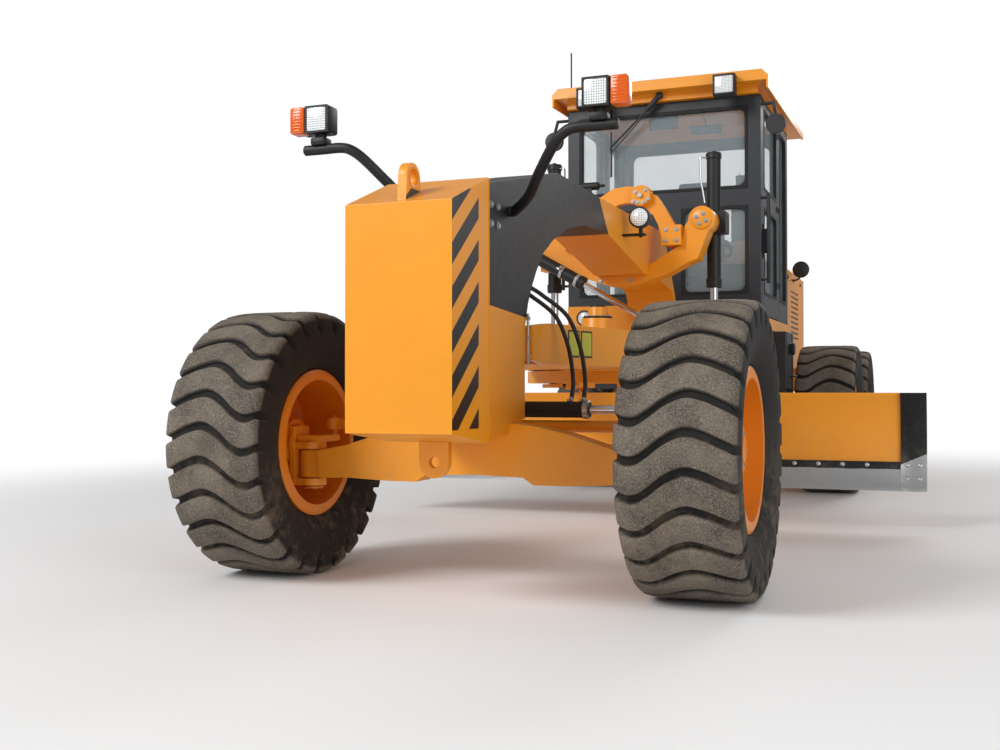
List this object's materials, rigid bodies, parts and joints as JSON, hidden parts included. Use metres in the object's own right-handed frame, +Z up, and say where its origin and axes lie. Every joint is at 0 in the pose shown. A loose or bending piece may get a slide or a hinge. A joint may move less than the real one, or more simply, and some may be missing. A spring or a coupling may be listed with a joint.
{
  "type": "motor grader",
  "caption": "Yellow and black motor grader with a front weight box, a turning blade under its arched frame, a cab and tandem rear wheels.",
  "frame": {"origin": "centre of the bounding box on the ground", "axes": "+X to the machine's left, +Y to its rear, +Z up; the machine faces -Y and stands on Z = 0"},
  "size_m": [3.766, 9.1918, 3.56],
  "materials": {
    "paint": "satin",
    "rim_paint": "satin",
    "black": "satin",
    "charcoal": "satin",
    "steel": "matte",
    "chrome": "polished",
    "rubber": "matte",
    "hose": "matte",
    "seat_cover": "matte",
    "plastic": "matte",
    "clear": "polished"
  },
  "bodies": {
    "chassis": {"rear_frame": "paint", "tandem_axle": "paint", "engine_block": "charcoal", "engine_hood": "paint", "exhaust_stack": "charcoal", "side_tanks": "charcoal", "cab_base": "paint", "cab_front": "charcoal", "cab_rear": "charcoal", "cab_roof": "paint", "cab_glass": "clear", "cab_seat": "seat_cover", "cab_controls": "plastic", "cab_fittings": "plastic"},
    "left_door": {"door_left": "charcoal"},
    "right_door": {"door_right": "charcoal"},
    "front": {"front_frame": "black", "weight_box": "paint", "head_lamps": "plastic", "lift_saddle": "paint", "front_axle": "paint", "frame_hoses": "hose", "steer_barrel": "black"},
    "steering_rod": {"steer_rod": "chrome"},
    "left_knuckle": {"knuckle_left": "paint"},
    "right_knuckle": {"knuckle_right": "paint"},
    "track_rod": {"tie_rod": "paint"},
    "ball": {"drawbar_ball": "steel"},
    "blade_drawbar": {"drawbar": "paint"},
    "lift_left_barrel": {"lift_barrel_left": "black"},
    "lift_left_rod": {"lift_rod_left": "chrome"},
    "lift_right_barrel": {"lift_barrel_right": "black"},
    "lift_right_rod": {"lift_rod_right": "chrome"},
    "circle": {"blade_circle": "paint"},
    "tilt_carrier": {"blade_carrier": "paint"},
    "blade": {"moldboard": "paint", "cutting_edge": "steel"},
    "shift_pivot": {"shift_trunnion": "steel"},
    "shift_tube": {"shift_barrel": "black"},
    "shift_ring": {"shift_piston": "steel"},
    "shift_bar": {"shift_rod": "chrome"},
    "bend_left_barrel": {"bend_barrel_left": "black"},
    "bend_left_rod": {"bend_rod_left": "chrome"},
    "bend_right_barrel": {"bend_barrel_right": "black"},
    "bend_right_rod": {"bend_rod_right": "chrome"},
    "wheel_front_left": {"rim_front_left": "rim_paint", "tyre_front_left": "rubber"},
    "wheel_front_right": {"rim_front_right": "rim_paint", "tyre_front_right": "rubber"},
    "wheel_mid_left": {"rim_mid_left": "rim_paint", "tyre_mid_left": "rubber"},
    "wheel_mid_right": {"rim_mid_right": "rim_paint", "tyre_mid_right": "rubber"},
    "wheel_rear_left": {"rim_rear_left": "rim_paint", "tyre_rear_left": "rubber"},
    "wheel_rear_right": {"rim_rear_right": "rim_paint", "tyre_rear_right": "rubber"}
  },
  "joints": [
    {"name": "roll_front_left", "type": "hinge", "parent": "left_knuckle", "child": "wheel_front_left", "pos_m": [1.045, -3.75, 0.638], "axis": [1, 0, 0], "continuous": true},
    {"name": "roll_front_right", "type": "hinge", "parent": "right_knuckle", "child": "wheel_front_right", "pos_m": [-1.045, -3.75, 0.638], "axis": [1, 0, 0], "continuous": true},
    {"name": "roll_mid_left", "type": "hinge", "parent": "chassis", "child": "wheel_mid_left", "pos_m": [1.045, 1.76, 0.638], "axis": [1, 0, 0], "continuous": true},
    {"name": "roll_mid_right", "type": "hinge", "parent": "chassis", "child": "wheel_mid_right", "pos_m": [-1.045, 1.76, 0.638], "axis": [1, 0, 0], "continuous": true},
    {"name": "roll_rear_left", "type": "hinge", "parent": "chassis", "child": "wheel_rear_left", "pos_m": [1.045, 3.3, 0.638], "axis": [1, 0, 0], "continuous": true},
    {"name": "roll_rear_right", "type": "hinge", "parent": "chassis", "child": "wheel_rear_right", "pos_m": [-1.045, 3.3, 0.638], "axis": [1, 0, 0], "continuous": true},
    {"name": "frame_bend", "type": "hinge", "parent": "chassis", "child": "front", "pos_m": [0, -0.33, 1.165], "axis": [0, 0, -1], "range_deg": [-20, 20]},
    {"name": "bend_left_swing", "type": "hinge", "parent": "chassis", "child": "bend_left_barrel", "pos_m": [0.47, 0.4, 1.04], "axis": [0, 0, -1], "range_deg": [-5, 5]},
    {"name": "bend_left_stroke", "type": "slide", "parent": "bend_left_barrel", "child": "bend_left_rod", "axis": [-0.0793, -0.9969, 0], "range_m": [-0.16, 0.16]},
    {"name": "bend_right_swing", "type": "hinge", "parent": "chassis", "child": "bend_right_barrel", "pos_m": [-0.47, 0.4, 1.04], "axis": [0, 0, -1], "range_deg": [-5, 5]},
    {"name": "bend_right_stroke", "type": "slide", "parent": "bend_right_barrel", "child": "bend_right_rod", "axis": [0.0793, -0.9969, 0], "range_m": [-0.16, 0.16]},
    {"name": "steer", "type": "hinge", "parent": "front", "child": "left_knuckle", "pos_m": [0.88, -3.75, 0.535], "axis": [0, 0, -1], "range_deg": [-40, 40]},
    {"name": "steer_right", "type": "hinge", "parent": "front", "child": "right_knuckle", "pos_m": [-0.88, -3.75, 0.535], "axis": [0, 0, -1], "range_deg": [-41, 41]},
    {"name": "track_rod_turn", "type": "hinge", "parent": "left_knuckle", "child": "track_rod", "pos_m": [0.88, -3.55, 0.722], "axis": [0, 0, -1], "range_deg": [-41, 41]},
    {"name": "steer_stroke", "type": "slide", "parent": "front", "child": "steering_rod", "axis": [1, 0, 0], "range_m": [-0.14, 0.14]},
    {"name": "centre_shift", "type": "hinge", "parent": "front", "child": "ball", "pos_m": [0, -3.51, 1.11], "axis": [0, 0, 1], "range_deg": [-8, 8]},
    {"name": "blade_lift", "type": "hinge", "parent": "ball", "child": "blade_drawbar", "pos_m": [0, -3.51, 1.11], "axis": [1, 0, 0], "range_deg": [-11, 4]},
    {"name": "lift_left_swing", "type": "hinge", "parent": "front", "child": "lift_left_barrel", "pos_m": [0.525, -1.065, 2], "axis": [0, 1, 0], "range_deg": [-24, 24]},
    {"name": "lift_left_stroke", "type": "slide", "parent": "lift_left_barrel", "child": "lift_left_rod", "axis": [0, 0, 1], "range_m": [-0.49, 0.27]},
    {"name": "lift_right_swing", "type": "hinge", "parent": "front", "child": "lift_right_barrel", "pos_m": [-0.525, -1.065, 2], "axis": [0, 1, 0], "range_deg": [-24, 24]},
    {"name": "lift_right_stroke", "type": "slide", "parent": "lift_right_barrel", "child": "lift_right_rod", "axis": [0, 0, 1], "range_m": [-0.49, 0.27]},
    {"name": "shift_pivot_turn", "type": "hinge", "parent": "front", "child": "shift_pivot", "pos_m": [-0.52, -1.2, 1.75], "axis": [0, 1, 0], "range_deg": [-25, 25]},
    {"name": "shift_swing", "type": "hinge", "parent": "shift_pivot", "child": "shift_tube", "pos_m": [-0.52, -1.3, 1.75], "axis": [0, 1, 0], "range_deg": [-15, 15]},
    {"name": "shift_ring_stroke", "type": "slide", "parent": "shift_tube", "child": "shift_ring", "axis": [0.8673, 0, -0.4978], "range_m": [-0.31, 0.31]},
    {"name": "shift_stroke", "type": "slide", "parent": "shift_ring", "child": "shift_bar", "axis": [0.8673, 0, -0.4978], "range_m": [-0.3, 0.3]},
    {"name": "circle_turn", "type": "hinge", "parent": "blade_drawbar", "child": "circle", "pos_m": [0, -1.35, 0.97], "axis": [0, 0, 1], "range_deg": [-60, 60]},
    {"name": "blade_tilt", "type": "hinge", "parent": "circle", "child": "tilt_carrier", "pos_m": [0, -0.725, 0.385], "axis": [1, 0, 0], "range_deg": [-5, 40]},
    {"name": "blade_shift", "type": "slide", "parent": "tilt_carrier", "child": "blade", "axis": [-1, 0, 0], "range_m": [-0.5, 0.5]},
    {"name": "left_door_swing", "type": "hinge", "parent": "chassis", "child": "left_door", "pos_m": [0.752, 0.732, 2.265], "axis": [0, 0, 1], "range_deg": [0, 85]},
    {"name": "right_door_swing", "type": "hinge", "parent": "chassis", "child": "right_door", "pos_m": [-0.752, 0.732, 2.265], "axis": [0, 0, -1], "range_deg": [0, 85]}
  ],
  "couplings": [
    {"joint": "bend_left_stroke", "follows": "frame_bend", "m_per_rad": 0.405},
    {"joint": "bend_left_swing", "follows": "frame_bend", "ratio": 0.122},
    {"joint": "bend_right_stroke", "follows": "frame_bend", "m_per_rad": -0.405},
    {"joint": "bend_right_swing", "follows": "frame_bend", "ratio": 0.122},
    {"joint": "steer_right", "follows": "steer", "ratio": 1},
    {"joint": "track_rod_turn", "follows": "steer", "ratio": -1},
    {"joint": "steer_stroke", "follows": "steer", "m_per_rad": 0.18415},
    {"joint": "lift_left_swing", "follows": "centre_shift", "ratio": 2.7826},
    {"joint": "lift_left_stroke", "follows": "blade_lift", "m_per_rad": 2.49},
    {"joint": "lift_right_swing", "follows": "centre_shift", "ratio": 2.7826},
    {"joint": "lift_right_stroke", "follows": "blade_lift", "m_per_rad": 2.49},
    {"joint": "shift_pivot_turn", "follows": "blade_lift", "ratio": -1.5864},
    {"joint": "shift_swing", "follows": "centre_shift", "ratio": 1.0933},
    {"joint": "shift_ring_stroke", "follows": "centre_shift", "m_per_rad": -1.8897},
    {"joint": "shift_stroke", "follows": "blade_lift", "m_per_rad": -1.2574}
  ]
}
